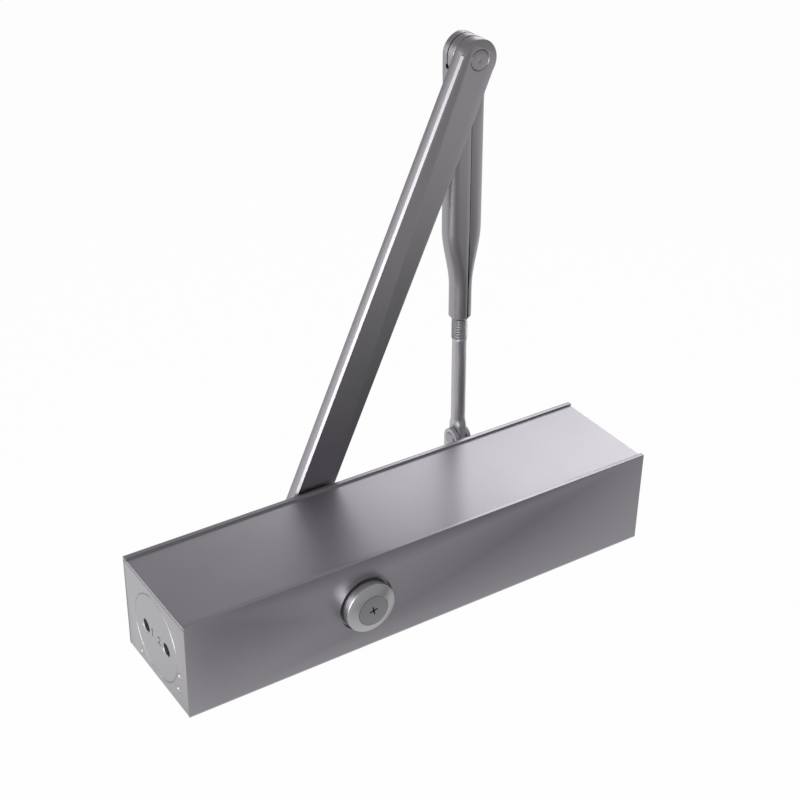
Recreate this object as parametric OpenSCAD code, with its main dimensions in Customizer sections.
// Overhead door closer with a folding arm, lying on its back face.
// X runs along the body, Y along the spindle toward the arm, Z away from the door.
// Millimetres. The origin is the middle of the back face.

/* [Body] */
// length of the cover
body_l = 245; // [235:1:270]
// depth of the body along the spindle
body_d = 58; // [58:0.5:62]
// height of the raised edges above the door
body_h = 48; // [48:0.5:50]
// wall of the extruded cover
cover_wall = 2; // [1.6:0.1:2]
// how far the cover's web lies below its raised edges
web_drop = 1.6; // [1:0.1:1.8]
// width of each raised edge
rim_w = 2.2; // [2.2:0.1:3]
// radius of the spindle openings in the cover
cover_hole_r = 13.5; // [13:0.1:14.5]

/* [Spindle] */
// distance of the spindle from the body's left end
spindle_in = 88; // [87:0.5:90]
// height of the spindle and of the cylinder above the door
axis_z = 24; // [24:0.5:25]
// gear module of the rack and pinion
gear_m = 2; // [2:0.25:2.25]
// number of teeth on the pinion
pinion_teeth = 9; // [9:1:9]
// radius of the bearing journals
journal_r = 8; // [7.5:0.1:8]
// size across the flats of the spindle's square ends
square_af = 11.2; // [10.5:0.1:11.3]

/* [Cylinder] */
// radius of the cylinder bore
cyl_r = 16; // [16:0.1:16.5]
// angle that the spindle turns to open the door fully
open_deg = 165; // [120:5:165]
// radius of the spring wire
wire_r = 2.4; // [2:0.1:2.5]
// number of coils of the closing spring
coils = 10; // [8:1:11]

/* [Arm] */
// length of the main arm between its two pivots
arm_l = 232.5; // [200:0.5:250]
// lean of the main arm from upright
arm_lean = 23.65; // [15:0.05:35]
// width of the main arm
arm_w = 20; // [18:0.5:24]
// thickness of the main arm
arm_t = 6; // [5:0.5:6]
// radius of the main arm's elbow end
arm_end_r = 10.3; // [10:0.1:13]
// width of the tapering edge on the arm
arm_edge = 1.2; // [0.5:0.1:1.8]

/* [Forearm] */
// lean of the forearm from upright
fore_lean = 1.4; // [0:0.1:5]
// distance from the elbow to the pin of the shoe
fore_l = 197; // [190:0.5:205]
// thickness of the forearm where it is pressed flat
flat_t = 8.2; // [7.6:0.1:9]
// radius of the rounded end at the elbow
flat_r = 9; // [8.5:0.1:10]
// thickness of the forearm where it stays open
tube_t = 10.4; // [9.6:0.1:11]
// width of the forearm where it stays open
tube_w = 19.6; // [18:0.1:22]
// sheet thickness of the forearm
sheet_t = 2.6; // [2:0.1:2.8]
// outer radius of the socket for the rod
socket_r = 5.3; // [5.2:0.1:6]
// outer radius of the rod's thread
thread_r = 3.9; // [3.5:0.1:4]
// radius of the plain rod
rod_r = 3.5; // [3:0.1:3.6]

/* [Shoe] */
// thickness of the shoe's lugs and plate
shoe_t = 2; // [1.8:0.1:2.5]
// thickness of the rod's flattened eye
eye_t = 4.2; // [3.6:0.1:4.4]
// distance from the pin to the upper side of the plate
shoe_drop = 25.5; // [22:0.5:27]
// half width of the shoe's plate
shoe_half_w = 11; // [9:0.5:11]
// distance between the two screw holes of the shoe
shoe_pitch = 19; // [16:0.5:22]

/* [View] */
// the piece to draw, or all of them

/* [Hidden] */
$fn = 48;
// radial clearance of a running fit
run = 0.05;
// side clearance between the housing and the cover
side_gap = 0.2;
// a little more than a surface, so that cuts go through
eps = 0.5;

cover_top = body_h - web_drop;
cover_in = cover_top - cover_wall;
half_l = body_l / 2;
spindle_x = spindle_in - half_l;
half_d = body_d / 2;
// half depth of the housing inside the cover
core_d = half_d - cover_wall - side_gap;
// half length of the housing's tall block
core_l = half_l - 18.5;
// half length of the housing over its screw feet
foot_l = half_l - 5;
foot_t = 8;
// places of the four body screws
foot_hole_x = half_l - 11.5;
foot_hole_y = 19;
foot_hole_r = 3;

// end plates, set in a step at the cover's ends, under a thin lip of its web
plate_t = 3;
plate_inset = 0.25;
plate_gap = 0.35;
lip_t = 0.6;
plate_x = half_l - plate_inset - plate_t;
plate_z0 = 0.2;
plate_z1 = cover_top - lip_t - plate_gap;
plate_edge = 0.3;
stake_r = 2;
stake_in = 4;
stake_step = 1.2;
stake_y = 20;
stake_z = 36;
low_stake_r = 1.5;
low_stake_y = 15.7;
low_stake_z = 4.2;
stakes = [[stake_y, stake_z], [-stake_y, stake_z]];
low_stakes = [[low_stake_y, low_stake_z], [-low_stake_y, low_stake_z]];
// places of the three small marks on the plate's face
mark_r = 0.9;
mark_rise = 0.3;
marks = [[15.7, 4.6], [-22.2, 17.6], [-20.4, 9.5]];
groove_r = 20.5;
groove_w = 0.6;
groove_d = 0.5;
key_hole_r = 4.5;
valve_dy = 9.7;
valve_z = 23;
valve_hole_r = 3.1;

// spindle stack, as distances from the middle along the spindle
gear_half = 10.5;
collar_y0 = 14.2;
cup_y0 = 16.3;
cup_y1 = 21.5;
collar_y1 = cup_y0 - 0.1;
cap_y1 = core_d - 2.5;
square_y0 = cap_y1 + 0.3;
square_y1 = half_d + 0.5;
bore_r = 12.5;
needle_r = 1;
needles = 14;
needle_pcr = journal_r + 0.03 + needle_r;
cup_in_r = needle_pcr + needle_r + 0.02;
spindle_tap_r = 2.5;
spindle_tap_l = 14;

// rack and pinion
pitch_r = gear_m * pinion_teeth / 2;
pressure = 25;
base_r = pitch_r * cos(pressure);
tip_r = pitch_r + gear_m;
rack_add = 0.75 * gear_m;
root_r = pitch_r - rack_add - 0.25;
rack_ded = 1.25 * gear_m;
backlash = 0.25;
tooth_pitch = PI * gear_m;
// piston travel per radian of the spindle is the pitch radius
travel = pitch_r * open_deg * PI / 180;
// the rack is a little narrower than the pinion, so that it clears the journals
rack_half = gear_half - 0.4;

// piston
piston_r = cyl_r - run;
window_x0 = spindle_x - travel - tip_r - 2;
window_x1 = spindle_x + tip_r + 1.5;
piston_x0 = window_x0 - 12;
piston_x1 = window_x1 + 14;
seal_w = 2.4;
seal_d = 2;

// spring, seat and adjusting screw
plug_l = 15;
plug_x = core_l - plug_l;
seat_t = 5;
seat_back = 4;
seat_x = plug_x - seat_t - seat_back;
seat_boss_l = 6;
seat_play = 0.1;
spring_play = 0.4;
spring_r = 12.1;
adjust_r = 4;
adjust_out = 6;
collar_r = 7;
collar_t = 2.45;
key_r = 2.9;
key_d = 4.5;
spring_x0 = piston_x1 + wire_r + 0.35;
spring_x1 = seat_x - wire_r - 0.35;
coil_steps = 24;
wire_sides = 8;

// arm
elbow = [spindle_x + arm_l * sin(arm_lean), 0, axis_z + arm_l * cos(arm_lean)];
arm_y0 = half_d + 1.5;
arm_y1 = arm_y0 + arm_t;
hub_r = 11;
hub_spigot_r = 9;
arm_hub_end_r = 15;
washer_t = 1.3;
fore_y0 = arm_y1 + washer_t + 0.1;
fore_y = fore_y0 + flat_t / 2;
fore_y1 = fore_y0 + flat_t;
pin_r = 3.95;
pin_head_r = 5;
pin_head_t = 2;

// forearm, measured down from the elbow
slit_t = 0.6;
keyhole_s = 6;
keyhole_r = 0.9;
flat_s = 12;
hollow_s = 18;
open_s = 34;
taper_s0 = 84;
taper_s1 = 112;
socket_s = 129;
seam_x = 1.4;
thread_s0 = 112.5;
thread_s1 = 141;
knuckle_s = fore_l - 10;
eye_r = 4.9;

// shoe
lug_gap = eye_t + 0.3;
lug_r = 5.4;
shoe_pin_r = 3;
shoe_reach = 41;
shoe_hole_x = 14;
shoe_hole_r = 2.6;

// Cover, end plates and housing

// outline of the extruded cover, seen from its left end
module cover_profile() {
  soft = 0.4;
  difference() {
    polygon([
      [-half_d, 0], [half_d, 0],
      [half_d, body_h - soft], [half_d - soft, body_h],
      [half_d - rim_w + soft, body_h], [half_d - rim_w, body_h - soft],
      [half_d - rim_w, cover_top], [-half_d + rim_w, cover_top],
      [-half_d + rim_w, body_h - soft], [-half_d + rim_w - soft, body_h],
      [-half_d + soft, body_h], [-half_d, body_h - soft]
    ]);
    translate([-half_d + cover_wall, -eps])
      square([body_d - 2 * cover_wall, cover_in + eps]);
  }
}

module along_x(x0, x1) {
  translate([x0, 0, 0])
    rotate([90, 0, 90])
      linear_extrude(x1 - x0) children();
}

// a cylinder along the spindle, between two distances from the middle
module spin_y(y0, y1, r, r2 = -1) {
  translate([spindle_x, y0, axis_z])
    rotate([-90, 0, 0])
      cylinder(h = y1 - y0, r1 = r, r2 = r2 < 0 ? r : r2);
}

// a cylinder along the body
module spin_x(x0, x1, r, y = 0, z = axis_z, r2 = -1) {
  translate([x0, y, z])
    rotate([0, 90, 0])
      cylinder(h = x1 - x0, r1 = r, r2 = r2 < 0 ? r : r2);
}

// the same piece at both ends of the spindle
module both_sides() {
  children();
  mirror([0, 1, 0]) children();
}

module cover() {
  color([0.66, 0.66, 0.68])
    difference() {
      along_x(-half_l, half_l) cover_profile();
      spin_y(-half_d - eps, half_d + eps, cover_hole_r);
      // steps that the end plates stand in
      for (m = [0, 1]) {
        mirror([m, 0, 0])
          translate([plate_x, -half_d - eps, -eps])
            cube([plate_t + plate_inset + eps, body_d + 2 * eps, cover_top - lip_t + eps]);
      }
    }
}

module plate_outline(shrink = 0) {
  translate([-half_d + shrink, plate_z0 + shrink])
    square([body_d - 2 * shrink, plate_z1 - plate_z0 - 2 * shrink]);
}

// an end plate at the right end, with its stakes toward the housing
module end_plate() {
  difference() {
    union() {
      hull() {
        along_x(plate_x, plate_x + plate_t - plate_edge) plate_outline();
        along_x(plate_x, plate_x + plate_t) plate_outline(plate_edge);
      }
      for (s = stakes) {
        spin_x(core_l, plate_x, stake_r + stake_step, s[0], s[1]);
        spin_x(core_l - stake_in, plate_x, stake_r, s[0], s[1]);
      }
      for (s = low_stakes) {
        spin_x(foot_l - stake_in, plate_x, low_stake_r, s[0], s[1]);
      }
    }
    // small marks where the stakes are formed
    for (s = marks) {
      translate([plate_x + plate_t + mark_rise, s[0], s[1]]) sphere(r = mark_r, $fn = 24);
    }
    // round groove of the disc that carries the valve holes
    difference() {
      spin_x(plate_x + plate_t - groove_d, plate_x + plate_t + eps, groove_r + groove_w / 2, 0, valve_z);
      spin_x(plate_x, plate_x + plate_t + 2 * eps, groove_r - groove_w / 2, 0, valve_z);
    }
  }
}

module end_plate_right() {
  color([0.62, 0.62, 0.64])
    difference() {
      end_plate();
      spin_x(plate_x - eps, half_l, key_hole_r);
    }
}

module end_plate_left() {
  color([0.62, 0.62, 0.64])
    difference() {
      mirror([1, 0, 0]) end_plate();
      for (y = [-valve_dy, valve_dy]) {
        spin_x(-half_l - eps, -plate_x + eps, valve_hole_r, y, valve_z);
      }
    }
}

module housing() {
  edge_cut = 3;
  color([0.58, 0.59, 0.6])
    difference() {
      union() {
        translate([-core_l, -core_d, 0]) cube([2 * core_l, 2 * core_d, cover_in]);
        translate([-foot_l, -core_d, 0]) cube([2 * foot_l, 2 * core_d, foot_t]);
      }
      // weight-saving chamfers along the upper edges
      for (m = [0, 1]) {
        mirror([0, m, 0])
          translate([-core_l - eps, core_d, cover_in])
            rotate([45, 0, 0]) translate([0, -edge_cut, -edge_cut])
              cube([2 * core_l + 2 * eps, 2 * edge_cut, 2 * edge_cut]);
      }
      spin_x(-core_l - eps, core_l + eps, cyl_r);
      spin_y(-core_d - eps, core_d + eps, bore_r);
      for (x = [-foot_hole_x, foot_hole_x]) {
        for (y = [-foot_hole_y, foot_hole_y]) {
          translate([x, y, -eps]) cylinder(h = foot_t + 2 * eps, r = foot_hole_r);
        }
      }
      for (m = [0, 1]) {
        mirror([m, 0, 0]) {
          for (s = stakes) {
            spin_x(core_l - stake_in - eps, core_l + eps, stake_r + run, s[0], s[1]);
          }
          for (s = low_stakes) {
            spin_x(foot_l - stake_in - eps, foot_l + eps, low_stake_r + run, s[0], s[1]);
          }
        }
      }
    }
}

// Spindle and bearings

// involute of the base circle at a roll angle, as a point
function involute(a) = base_r * [cos(a) + a * PI / 180 * sin(a), sin(a) - a * PI / 180 * cos(a)];
function roll(r) = r <= base_r ? 0 : sqrt(pow(r / base_r, 2) - 1) * 180 / PI;
function turned(p, a) = [p[0] * cos(a) - p[1] * sin(a), p[0] * sin(a) + p[1] * cos(a)];
inv_pitch = tan(pressure) * 180 / PI - pressure;
half_tooth = 90 / pinion_teeth - backlash / pitch_r * 45 / PI + inv_pitch;
flank_steps = 6;

function flank(side) = [
  for (i = [0 : flank_steps])
    let (a = roll(tip_r) * i / flank_steps, p = turned(involute(a), -half_tooth))
    [p[0], side * p[1]]
];

// one pinion tooth pointing along the first axis
module pinion_tooth() {
  low = flank(1);
  high = flank(-1);
  // below the base circle the flanks run straight to the axis
  foot = root_r - 1;
  polygon(concat(
    [[foot * cos(half_tooth), -foot * sin(half_tooth)]],
    low,
    [for (i = [flank_steps : -1 : 0]) high[i]],
    [[foot * cos(half_tooth), foot * sin(half_tooth)]]
  ));
}

// the teeth stand so that one points straight at the rack
module pinion_profile() {
  circle(r = root_r);
  for (i = [0 : pinion_teeth - 1]) {
    rotate(90 + i * 360 / pinion_teeth) pinion_tooth();
  }
}

module square_end(y0, y1) {
  intersection() {
    spin_y(y0, y1, journal_r - 0.05);
    translate([spindle_x - square_af / 2, y0, axis_z - square_af / 2])
      cube([square_af, y1 - y0, square_af]);
  }
}

module pinion_shaft() {
  color([0.5, 0.5, 0.52])
    difference() {
      union() {
        translate([spindle_x, gear_half, axis_z])
          rotate([90, 0, 0]) linear_extrude(2 * gear_half) pinion_profile();
        both_sides() {
          spin_y(gear_half - 0.1, square_y0, journal_r);
          spin_y(collar_y0, collar_y1, journal_r + 2);
          square_end(square_y0 - eps, square_y1);
        }
      }
      both_sides() {
        spin_y(square_y1 - spindle_tap_l, square_y1 + eps, spindle_tap_r);
      }
    }
}

module bearing_cups() {
  color([0.72, 0.72, 0.74])
    both_sides()
      difference() {
        spin_y(cup_y0, cup_y1, bore_r);
        spin_y(cup_y0 - eps, cup_y1 + eps, cup_in_r);
      }
}

module bearing_needles() {
  color([0.8, 0.8, 0.82])
    both_sides()
      for (i = [0 : needles - 1]) {
        translate([
          spindle_x + needle_pcr * cos(i * 360 / needles),
          cup_y0 + 0.6,
          axis_z + needle_pcr * sin(i * 360 / needles)
        ])
          rotate([-90, 0, 0]) cylinder(h = cup_y1 - cup_y0 - 1.2, r = needle_r, $fn = 16);
      }
}

module bearing_caps() {
  color([0.55, 0.55, 0.57])
    both_sides()
      difference() {
        spin_y(cup_y1, cap_y1, bore_r);
        spin_y(cup_y1 - eps, cap_y1 + eps, journal_r + 0.1);
        spin_y(cup_y1 - eps, cap_y1 - 1, journal_r + 2);
        // two spanner holes
        for (x = [-10.9, 10.9]) {
          translate([spindle_x + x, cap_y1 - 1, axis_z])
            rotate([-90, 0, 0]) cylinder(h = 2, r = 0.8, $fn = 24);
        }
      }
}

module shaft_seals() {
  color([0.12, 0.12, 0.13])
    both_sides()
      difference() {
        spin_y(cap_y1 - 2.6, cap_y1 - 1, journal_r + 2);
        spin_y(cap_y1 - 2.6 - eps, cap_y1 - 1 + eps, journal_r + 0.06);
      }
}

// Piston and its valve

// rack teeth hanging from their root line, over the whole window
module rack_profile() {
  root_half = tooth_pitch / 4 + rack_ded * tan(pressure);
  tip_half = tooth_pitch / 4 - rack_add * tan(pressure);
  n0 = ceil((window_x0 - spindle_x + 2) / tooth_pitch);
  n1 = floor((window_x1 - spindle_x - 2) / tooth_pitch);
  for (i = [n0 : n1]) {
    // a rack tooth lies midway between two pinion teeth
    c = spindle_x + (i + 0.5) * tooth_pitch;
    if (c + root_half < window_x1 && c - root_half > window_x0) {
      polygon([
        [c - root_half, axis_z + pitch_r + rack_ded + 0.1],
        [c - tip_half, axis_z + pitch_r - rack_add],
        [c + tip_half, axis_z + pitch_r - rack_add],
        [c + root_half, axis_z + pitch_r + rack_ded + 0.1]
      ]);
    }
  }
}

module seal_groove(x) {
  translate([x, 0, axis_z])
    rotate([0, 90, 0])
      difference() {
        cylinder(h = seal_w, r = cyl_r + 1);
        translate([0, 0, -1]) cylinder(h = seal_w + 2, r = cyl_r - seal_d);
      }
}

module seal_ring(x) {
  translate([x + 0.1, 0, axis_z])
    rotate([0, 90, 0])
      difference() {
        cylinder(h = seal_w - 0.2, r = cyl_r - 0.04);
        translate([0, 0, -1]) cylinder(h = seal_w + 2, r = cyl_r - seal_d);
      }
}

ball_r = 2;
ball_x = piston_x0 + 6;

module rack_piston() {
  color([0.48, 0.48, 0.5])
    union() {
      difference() {
        spin_x(piston_x0, piston_x1, piston_r);
        // the window for the pinion, open along the spindle
        translate([window_x0, -cyl_r - 1, axis_z - tip_r - 0.6])
          cube([window_x1 - window_x0, 2 * cyl_r + 2, tip_r + 0.6 + pitch_r + rack_ded]);
        seal_groove(piston_x0 + 2.5);
        seal_groove(piston_x1 - 5);
        // one-way valve passage through the left head
        spin_x(piston_x0 - eps, ball_x + ball_r * 0.8, ball_r + 0.6, 0, axis_z - 6);
        spin_x(piston_x0 - eps, window_x0 + eps, 1.2, 0, axis_z - 6);
        // hollow of the right head
        spin_x(piston_x1 - 5, piston_x1 + eps, 5);
      }
      intersection() {
        translate([0, rack_half, 0])
          rotate([90, 0, 0]) linear_extrude(2 * rack_half) rack_profile();
        spin_x(piston_x0, piston_x1, piston_r);
      }
    }
}

module piston_seals() {
  color([0.14, 0.14, 0.15]) {
    seal_ring(piston_x0 + 2.5);
    seal_ring(piston_x1 - 5);
  }
}

module check_ball() {
  color([0.85, 0.85, 0.87])
    translate([ball_x - 0.02, 0, axis_z - 6]) sphere(r = ball_r, $fn = 24);
}

module check_screw() {
  color([0.75, 0.62, 0.3])
    difference() {
      spin_x(piston_x0 + 0.3, ball_x - ball_r - 0.4, ball_r + 0.6, 0, axis_z - 6);
      spin_x(piston_x0 - eps, ball_x, 1, 0, axis_z - 6);
    }
}

// Spring and its adjuster

// the end coils lie close, the others share the rest of the length
end_lead = 2 * wire_r + 0.6;
mid_lead = (spring_x1 - spring_x0 - 2 * end_lead) / (coils - 2);
function advance(t) =
  t < 1 ? end_lead * t
  : t < coils - 1 ? end_lead + mid_lead * (t - 1)
  : end_lead + mid_lead * (coils - 2) + end_lead * (t - coils + 1);
// middle of the wire at an angle counted from the piston's end
function wound(a) = [
  spring_x0 + advance(a / 360),
  spring_r * cos(a),
  axis_z + spring_r * sin(a)
];
function ring_point(a, b) =
  wound(a) + wire_r * [sin(b), cos(b) * cos(a), cos(b) * sin(a)];

spring_rings = coils * coil_steps;
turn_gaps = [
  for (i = [0 : spring_rings - coil_steps], d = [-6 : 6])
    let (k = i + coil_steps + d)
    if (k <= spring_rings) norm(wound(k * 360 / coil_steps) - wound(i * 360 / coil_steps))
];
echo(least_gap_of_spring = min(turn_gaps) - 2 * wire_r);

module closing_spring() {
  points = [
    for (i = [0 : spring_rings])
      for (j = [0 : wire_sides - 1])
        ring_point(i * 360 / coil_steps, j * 360 / wire_sides)
  ];
  last = spring_rings * wire_sides;
  sides = [
    for (i = [0 : spring_rings - 1])
      for (j = [0 : wire_sides - 1])
        let (k = (j + 1) % wire_sides, a = i * wire_sides, b = a + wire_sides)
        [a + j, a + k, b + k, b + j]
  ];
  start = [for (j = [wire_sides - 1 : -1 : 0]) j];
  finish = [for (j = [0 : wire_sides - 1]) last + j];
  color([0.3, 0.31, 0.33])
    polyhedron(points = points, faces = concat([start, finish], sides));
}

module spring_seat() {
  color([0.5, 0.5, 0.52])
    difference() {
      union() {
        spin_x(seat_x, seat_x + seat_t, cyl_r - seat_play);
        spin_x(seat_x - seat_boss_l, seat_x, spring_r - wire_r - spring_play);
      }
      spin_x(seat_x - seat_boss_l - eps, seat_x + seat_t + eps, adjust_r + run);
    }
}

module spring_adjusting_screw() {
  color([0.6, 0.6, 0.62])
    difference() {
      union() {
        spin_x(seat_x - seat_boss_l, core_l + adjust_out, adjust_r);
        // collar that keeps it in the plug
        spin_x(plug_x - run - collar_t, plug_x - run, collar_r);
      }
      // hexagon socket for the key
      translate([core_l + adjust_out - key_d, 0, axis_z])
        rotate([0, 90, 0]) cylinder(h = key_d + eps, r = key_r, $fn = 6);
    }
}

// Plugs and valves

module plug_blank(x0, groove_x) {
  difference() {
    spin_x(x0, x0 + plug_l, cyl_r);
    seal_groove(groove_x);
  }
}

module cylinder_plug_right() {
  color([0.7, 0.7, 0.72])
    difference() {
      plug_blank(plug_x, plug_x + 3);
      spin_x(plug_x - eps, core_l + eps, adjust_r + run);
      for (y = [-10.5, 10.5]) {
        spin_x(core_l - 4, core_l + eps, 1.6, y);
      }
    }
}

valve_neck_r = 1.6;
valve_body_r = 2.6;
valve_x0 = -core_l + 0.5;
valve_x1 = -core_l + 11;

module cylinder_plug_left() {
  color([0.7, 0.7, 0.72])
    difference() {
      plug_blank(-core_l, -core_l + plug_l - 5.4);
      for (y = [-valve_dy, valve_dy]) {
        spin_x(-core_l - eps, valve_x1 + 0.3, valve_body_r + run, y, valve_z);
        spin_x(-core_l, -plug_x + eps, 1, y, valve_z);
      }
    }
}

module plug_seals() {
  color([0.14, 0.14, 0.15]) {
    seal_ring(plug_x + 3);
    seal_ring(-core_l + plug_l - 5.4);
  }
}

// one needle screw, with a slot for a screwdriver
module valve(y) {
  groove = 1;
  difference() {
    union() {
      spin_x(valve_x0, valve_x0 + 5, valve_body_r, y, valve_z);
      spin_x(valve_x0 + 5, valve_x0 + 6.6, valve_body_r - groove, y, valve_z);
      spin_x(valve_x0 + 6.6, valve_x1 - 1.5, valve_body_r, y, valve_z);
      spin_x(valve_x1 - 1.5, valve_x1, valve_body_r, y, valve_z, 1.1);
    }
    translate([valve_x0 - eps, y - 0.4, valve_z - 3]) cube([1.5, 0.8, 6]);
  }
}

module sweep_valve() {
  color([0.78, 0.66, 0.36]) valve(valve_dy);
}

module latch_valve() {
  color([0.78, 0.66, 0.36]) valve(-valve_dy);
}

module valve_seals() {
  color([0.1, 0.1, 0.11])
    for (y = [-valve_dy, valve_dy]) {
      difference() {
        spin_x(valve_x0 + 5.1, valve_x0 + 6.5, valve_body_r + run, y, valve_z);
        spin_x(valve_x0 + 5, valve_x0 + 7, valve_body_r - 0.95, y, valve_z);
      }
    }
}

// Spindle cap on the near side

cap_r = 12.3;
cap_edge = 0.4;
cap_y0 = -core_d - 0.4;
cap_bevel_y = -half_d - 3;
cap_face_y = -half_d - 6;
cap_screw_r = 7.5;

module spindle_cap() {
  color([0.7, 0.7, 0.71])
    difference() {
      union() {
        spin_y(cap_bevel_y + cap_edge, cap_y0, cap_r);
        spin_y(cap_bevel_y, cap_bevel_y + cap_edge, cap_r - cap_edge, cap_r);
        spin_y(cap_face_y, cap_bevel_y, cap_screw_r, cap_r - cap_edge);
        spin_y(cap_y0 - eps, -square_y0, journal_r + 1.2);
      }
      // square socket on the spindle
      translate([spindle_x - square_af / 2 - run, -square_y1 - 0.1, axis_z - square_af / 2 - run])
        cube([square_af + 2 * run, square_y1 - square_y0 + 2, square_af + 2 * run]);
      // seat of the broad screw
      spin_y(cap_face_y - eps, cap_face_y + 2, cap_screw_r);
      spin_y(cap_face_y, -square_y1, spindle_tap_r + 0.2);
    }
}

module spindle_cap_screw() {
  recess = 2.1;
  color([0.45, 0.45, 0.47])
    difference() {
      union() {
        spin_y(cap_face_y, cap_face_y + 2, cap_screw_r - 0.12);
        spin_y(cap_face_y + 1, -square_y1 + 9, spindle_tap_r - run);
      }
      // cross slot
      for (a = [12, 102]) {
        translate([spindle_x, cap_face_y - eps, axis_z])
          rotate([0, -a, 0])
            translate([-recess, 0, -0.4]) cube([2 * recess, 1.6 + eps, 0.8]);
      }
    }
}

// Arm side

// places its children with the first axis along the main arm, away from the spindle
module on_arm() {
  translate([spindle_x, arm_y0, axis_z])
    rotate([0, arm_lean - 90, 0])
      rotate([-90, 0, 0]) children();
}

module arm_hub() {
  color([0.55, 0.55, 0.57])
    difference() {
      union() {
        spin_y(square_y0, arm_y0, hub_r);
        spin_y(arm_y0 - eps, arm_y1, hub_spigot_r);
      }
      translate([spindle_x - square_af / 2 - run, square_y0 - eps, axis_z - square_af / 2 - run])
        cube([square_af + 2 * run, square_y1 - square_y0 + eps + 0.1, square_af + 2 * run]);
      spin_y(square_y1, arm_y1 + eps, spindle_tap_r + 0.2);
      spin_y(arm_y1 - 2.6, arm_y1 + eps, 5.3);
    }
}

module arm_outline(shrink = 0) {
  circle(r = arm_hub_end_r - shrink);
  translate([0, -arm_w / 2 + shrink]) square([arm_l, arm_w - 2 * shrink]);
  translate([arm_l, 0]) circle(r = arm_end_r - shrink);
}

module main_arm() {
  bevel_x0 = arm_hub_end_r + 4;
  bevel_l = arm_l - arm_end_r - 5 - bevel_x0;
  color([0.64, 0.64, 0.66])
    on_arm()
      difference() {
        linear_extrude(arm_t) arm_outline();
        translate([0, 0, -eps]) cylinder(h = arm_t + 2 * eps, r = hub_spigot_r + 0.02);
        translate([arm_l, 0, -eps]) cylinder(h = arm_t + 2 * eps, r = pin_r + run);
        translate([arm_l, 0, -eps]) cylinder(h = pin_head_t + eps, r = pin_head_r + 0.03);
        // bevels along the near long edges
        for (m = [0, 1]) {
          mirror([0, m, 0])
            translate([bevel_x0, arm_w / 2, 0])
              rotate([45, 0, 0])
                translate([0, -arm_edge / sqrt(2), -arm_edge / sqrt(2)])
                  cube([bevel_l, arm_edge * sqrt(2), arm_edge * sqrt(2)]);
        }
      }
}

module arm_screw() {
  color([0.4, 0.4, 0.42])
    difference() {
      union() {
        spin_y(arm_y1 - 2.6, arm_y1 - 0.1, 5.2);
        spin_y(square_y1 - 9, arm_y1 - 1, spindle_tap_r - run);
      }
      translate([spindle_x, arm_y1 - 1.6, axis_z])
        rotate([-90, 0, 0]) cylinder(h = 2, r = 2.3, $fn = 6);
    }
}

module at_elbow(y = 0) {
  translate([elbow[0], y, elbow[2]]) rotate([-90, 0, 0]) children();
}

module elbow_pin() {
  color([0.6, 0.6, 0.62])
    difference() {
      union() {
        at_elbow(arm_y0) cylinder(h = pin_head_t, r = pin_head_r);
        at_elbow(arm_y0) cylinder(h = fore_y1 + 0.1 - arm_y0, r = pin_r);
        at_elbow(fore_y1 + 0.1) cylinder(h = 0.8, r = pin_head_r + 0.4);
        at_elbow(fore_y1 + 0.9) cylinder(h = 0.6, r1 = pin_head_r + 0.4, r2 = pin_head_r - 0.6);
      }
      // centre dimples left by the riveting
      at_elbow(arm_y0 - eps) cylinder(h = 1 + eps, r1 = 1.2, r2 = 0.4, $fn = 24);
      at_elbow(fore_y1 + 0.7) cylinder(h = 0.8 + eps, r1 = 0.4, r2 = 1.2, $fn = 24);
    }
}

module elbow_washer() {
  color([0.72, 0.72, 0.73])
    difference() {
      at_elbow(arm_y1) cylinder(h = washer_t, r = flat_r - 0.4);
      at_elbow(arm_y1 - eps) cylinder(h = washer_t + 2 * eps, r = pin_r + run);
    }
}

// Forearm and foot, drawn hanging down from the elbow

module on_forearm() {
  translate([elbow[0], fore_y, elbow[2]])
    rotate([0, -fore_lean, 0]) children();
}

// the two round edges of a thin slice of the forearm
module tube_slice(s, w, t) {
  for (m = [-1, 1]) {
    translate([m * (w - t) / 2, 0, -s - 0.1]) cylinder(h = 0.1, r = t / 2, $fn = 32);
  }
}

module forearm_outer() {
  // pressed end round the elbow
  rotate([90, 0, 0])
    translate([0, 0, -flat_t / 2])
      linear_extrude(flat_t) {
        circle(r = flat_r);
        translate([-flat_r, -flat_s]) square([2 * flat_r, flat_s]);
      }
  hull() {
    translate([-flat_r, -flat_t / 2, -flat_s]) cube([2 * flat_r, flat_t, 1]);
    tube_slice(open_s, tube_w, tube_t);
  }
  hull() {
    tube_slice(open_s, tube_w, tube_t);
    tube_slice(taper_s0, tube_w, tube_t);
  }
  hull() {
    tube_slice(taper_s0, tube_w, tube_t);
    translate([0, 0, -taper_s1]) cylinder(h = 0.1, r = socket_r + 0.1, $fn = 32);
  }
  translate([0, 0, -socket_s + 1]) cylinder(h = socket_s - taper_s1 - 0.95, r = socket_r);
  translate([0, 0, -socket_s]) cylinder(h = 1, r1 = socket_r - 0.8, r2 = socket_r);
}

module forearm_inner() {
  in_w = tube_w - 2 * sheet_t;
  in_t = tube_t - 2 * sheet_t;
  hull() {
    translate([-in_w / 2, -slit_t / 2, -hollow_s]) cube([in_w, slit_t, 0.1]);
    tube_slice(open_s + 4, in_w, in_t);
  }
  hull() {
    tube_slice(open_s + 4, in_w, in_t);
    tube_slice(taper_s0, in_w, in_t);
  }
  hull() {
    tube_slice(taper_s0, in_w, in_t);
    translate([0, 0, -taper_s1]) cylinder(h = 0.1, r = thread_r + 0.15, $fn = 32);
  }
  translate([0, 0, -socket_s - eps])
    cylinder(h = socket_s + eps - taper_s1 + 0.05, r = thread_r + run);
}

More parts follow.
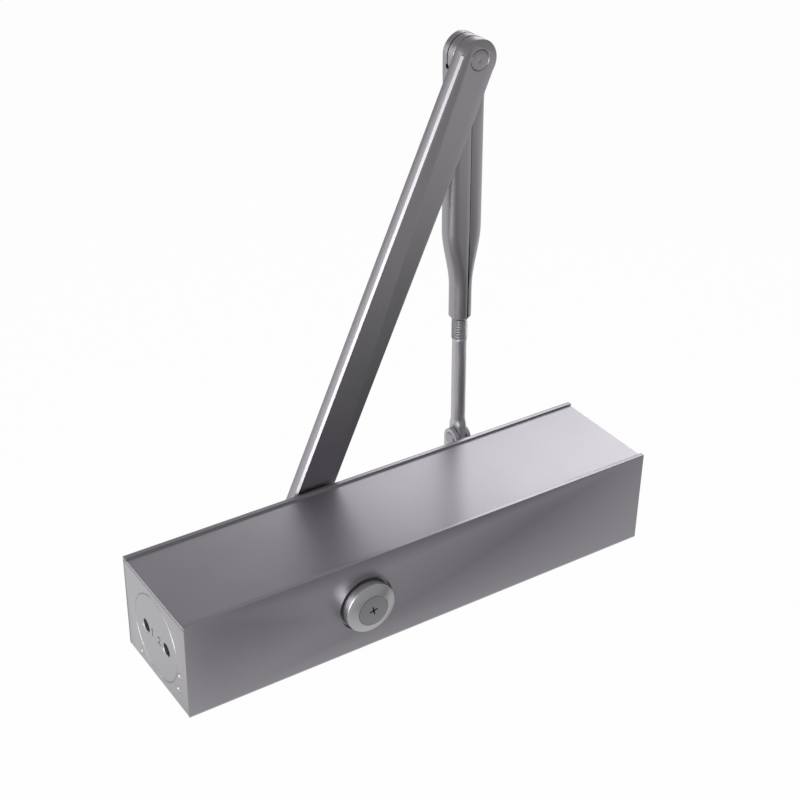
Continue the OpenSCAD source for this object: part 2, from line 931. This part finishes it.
module forearm_tube() {
  color([0.64, 0.64, 0.66])
    on_forearm()
      difference() {
        forearm_outer();
        forearm_inner();
        // slit between the two pressed layers, with its keyhole
        translate([-flat_r - 1, -slit_t / 2, -keyhole_s])
          cube([2 * flat_r + 2, slit_t, keyhole_s + flat_r + 1]);
        translate([-flat_r - 2, 0, -keyhole_s])
          rotate([0, 90, 0]) cylinder(h = 2 * flat_r + 4, r = keyhole_r, $fn = 24);
        // seam of the rolled sheet on the near face
        translate([seam_x - 0.2, -tube_t, -taper_s0])
          cube([0.4, tube_t, taper_s0 - 22]);
        translate([seam_x - 0.2, -tube_t, -taper_s0 - 12])
          cube([0.7, tube_t, 12.1]);
        translate([seam_x - 0.5, -tube_t, -socket_s - eps])
          cube([1.1, tube_t - 2, socket_s + eps - taper_s0 - 12]);
        rotate([90, 0, 0])
          translate([0, 0, -tube_t]) cylinder(h = 2 * tube_t, r = pin_r + run);
      }
}

module adjusting_rod() {
  ridges = 9;
  ridge_s0 = socket_s - 0.6;
  ridge_step = (thread_s1 - ridge_s0) / (ridges + 1);
  color([0.6, 0.6, 0.62])
    on_forearm()
      difference() {
        union() {
          translate([0, 0, -ridge_s0]) cylinder(h = ridge_s0 - thread_s0, r = thread_r);
          // the thread that shows below the socket
          translate([0, 0, -thread_s1])
            rotate_extrude()
              polygon(concat(
                [[0, 0], [rod_r, 0]],
                [for (i = [0 : ridges])
                  for (p = [[rod_r - 0.1, 0.1], [thread_r, 0.5]])
                    [p[0], (i + p[1]) * ridge_step]],
                [[rod_r, thread_s1 - ridge_s0 + 0.1], [0, thread_s1 - ridge_s0 + 0.1]]
              ));
          translate([0, 0, -knuckle_s]) cylinder(h = knuckle_s - thread_s1, r = rod_r);
          // shoulder pressed from the rod
          hull() {
            translate([0, 0, -knuckle_s]) cylinder(h = 1, r = rod_r, $fn = 32);
            translate([-eye_t / 2, -eye_r + 0.6, -knuckle_s - 5])
              cube([eye_t, 2 * eye_r - 1.2, 1]);
          }
          translate([-eye_t / 2, -eye_r + 0.6, -fore_l])
            cube([eye_t, 2 * eye_r - 1.2, fore_l - knuckle_s - 4]);
          translate([-eye_t / 2, 0, -fore_l])
            rotate([0, 90, 0]) cylinder(h = eye_t, r = eye_r);
        }
        translate([-eye_t, 0, -fore_l])
          rotate([0, 90, 0]) cylinder(h = 2 * eye_t, r = shoe_pin_r + run);
      }
}

module shoe_lug() {
  translate([lug_gap / 2, 0, -fore_l]) {
    rotate([0, 90, 0]) cylinder(h = shoe_t, r = lug_r);
    translate([0, -lug_r, -shoe_drop - shoe_t / 2])
      cube([shoe_t, 2 * lug_r, shoe_drop + shoe_t / 2]);
    // flare of the lug where it meets the plate
    translate([0, 0, -shoe_drop])
      rotate([90, 0, 90]) linear_extrude(shoe_t)
        polygon([
          [-lug_r, 9], [-shoe_half_w + 1.5, 0], [shoe_half_w - 1.5, 0], [lug_r, 9]
        ]);
  }
}

module shoe_bracket() {
  plate_z = -fore_l - shoe_drop - shoe_t;
  corner = 3;
  color([0.6, 0.6, 0.62])
    on_forearm()
      difference() {
        union() {
          shoe_lug();
          mirror([1, 0, 0]) shoe_lug();
          translate([0, 0, plate_z]) cylinder(h = shoe_t, r = shoe_half_w);
          translate([-shoe_reach + corner, -shoe_half_w, plate_z])
            cube([shoe_reach - corner, 2 * shoe_half_w, shoe_t]);
          for (m = [-1, 1]) {
            translate([-shoe_reach + corner, m * (shoe_half_w - corner), plate_z])
              cylinder(h = shoe_t, r = corner);
          }
          translate([-shoe_reach, -shoe_half_w + corner, plate_z])
            cube([corner, 2 * (shoe_half_w - corner), shoe_t]);
        }
        translate([-lug_gap, 0, -fore_l])
          rotate([0, 90, 0]) cylinder(h = 2 * lug_gap, r = shoe_pin_r + 0.02);
        for (i = [0, 1]) {
          translate([-shoe_hole_x - i * shoe_pitch, 0, plate_z - eps])
            cylinder(h = shoe_t + 2 * eps, r = shoe_hole_r);
        }
      }
}

module shoe_pin() {
  head_t = 0.7;
  reach = lug_gap / 2 + shoe_t;
  color([0.7, 0.7, 0.72])
    on_forearm()
      translate([0, 0, -fore_l])
        rotate([0, 90, 0]) {
          translate([0, 0, -reach]) cylinder(h = 2 * reach, r = shoe_pin_r);
          for (m = [0, 1]) {
            mirror([0, 0, m])
              translate([0, 0, reach]) cylinder(h = head_t, r1 = shoe_pin_r + 0.7, r2 = shoe_pin_r);
          }
        }
}

housing();
cover();
end_plate_left();
end_plate_right();
cylinder_plug_left();
cylinder_plug_right();
plug_seals();
pinion_shaft();
bearing_cups();
bearing_needles();
bearing_caps();
shaft_seals();
rack_piston();
piston_seals();
check_ball();
check_screw();
closing_spring();
spring_seat();
spring_adjusting_screw();
sweep_valve();
latch_valve();
valve_seals();
spindle_cap();
spindle_cap_screw();
arm_hub();
main_arm();
arm_screw();
elbow_pin();
elbow_washer();
forearm_tube();
adjusting_rod();
shoe_bracket();
shoe_pin();
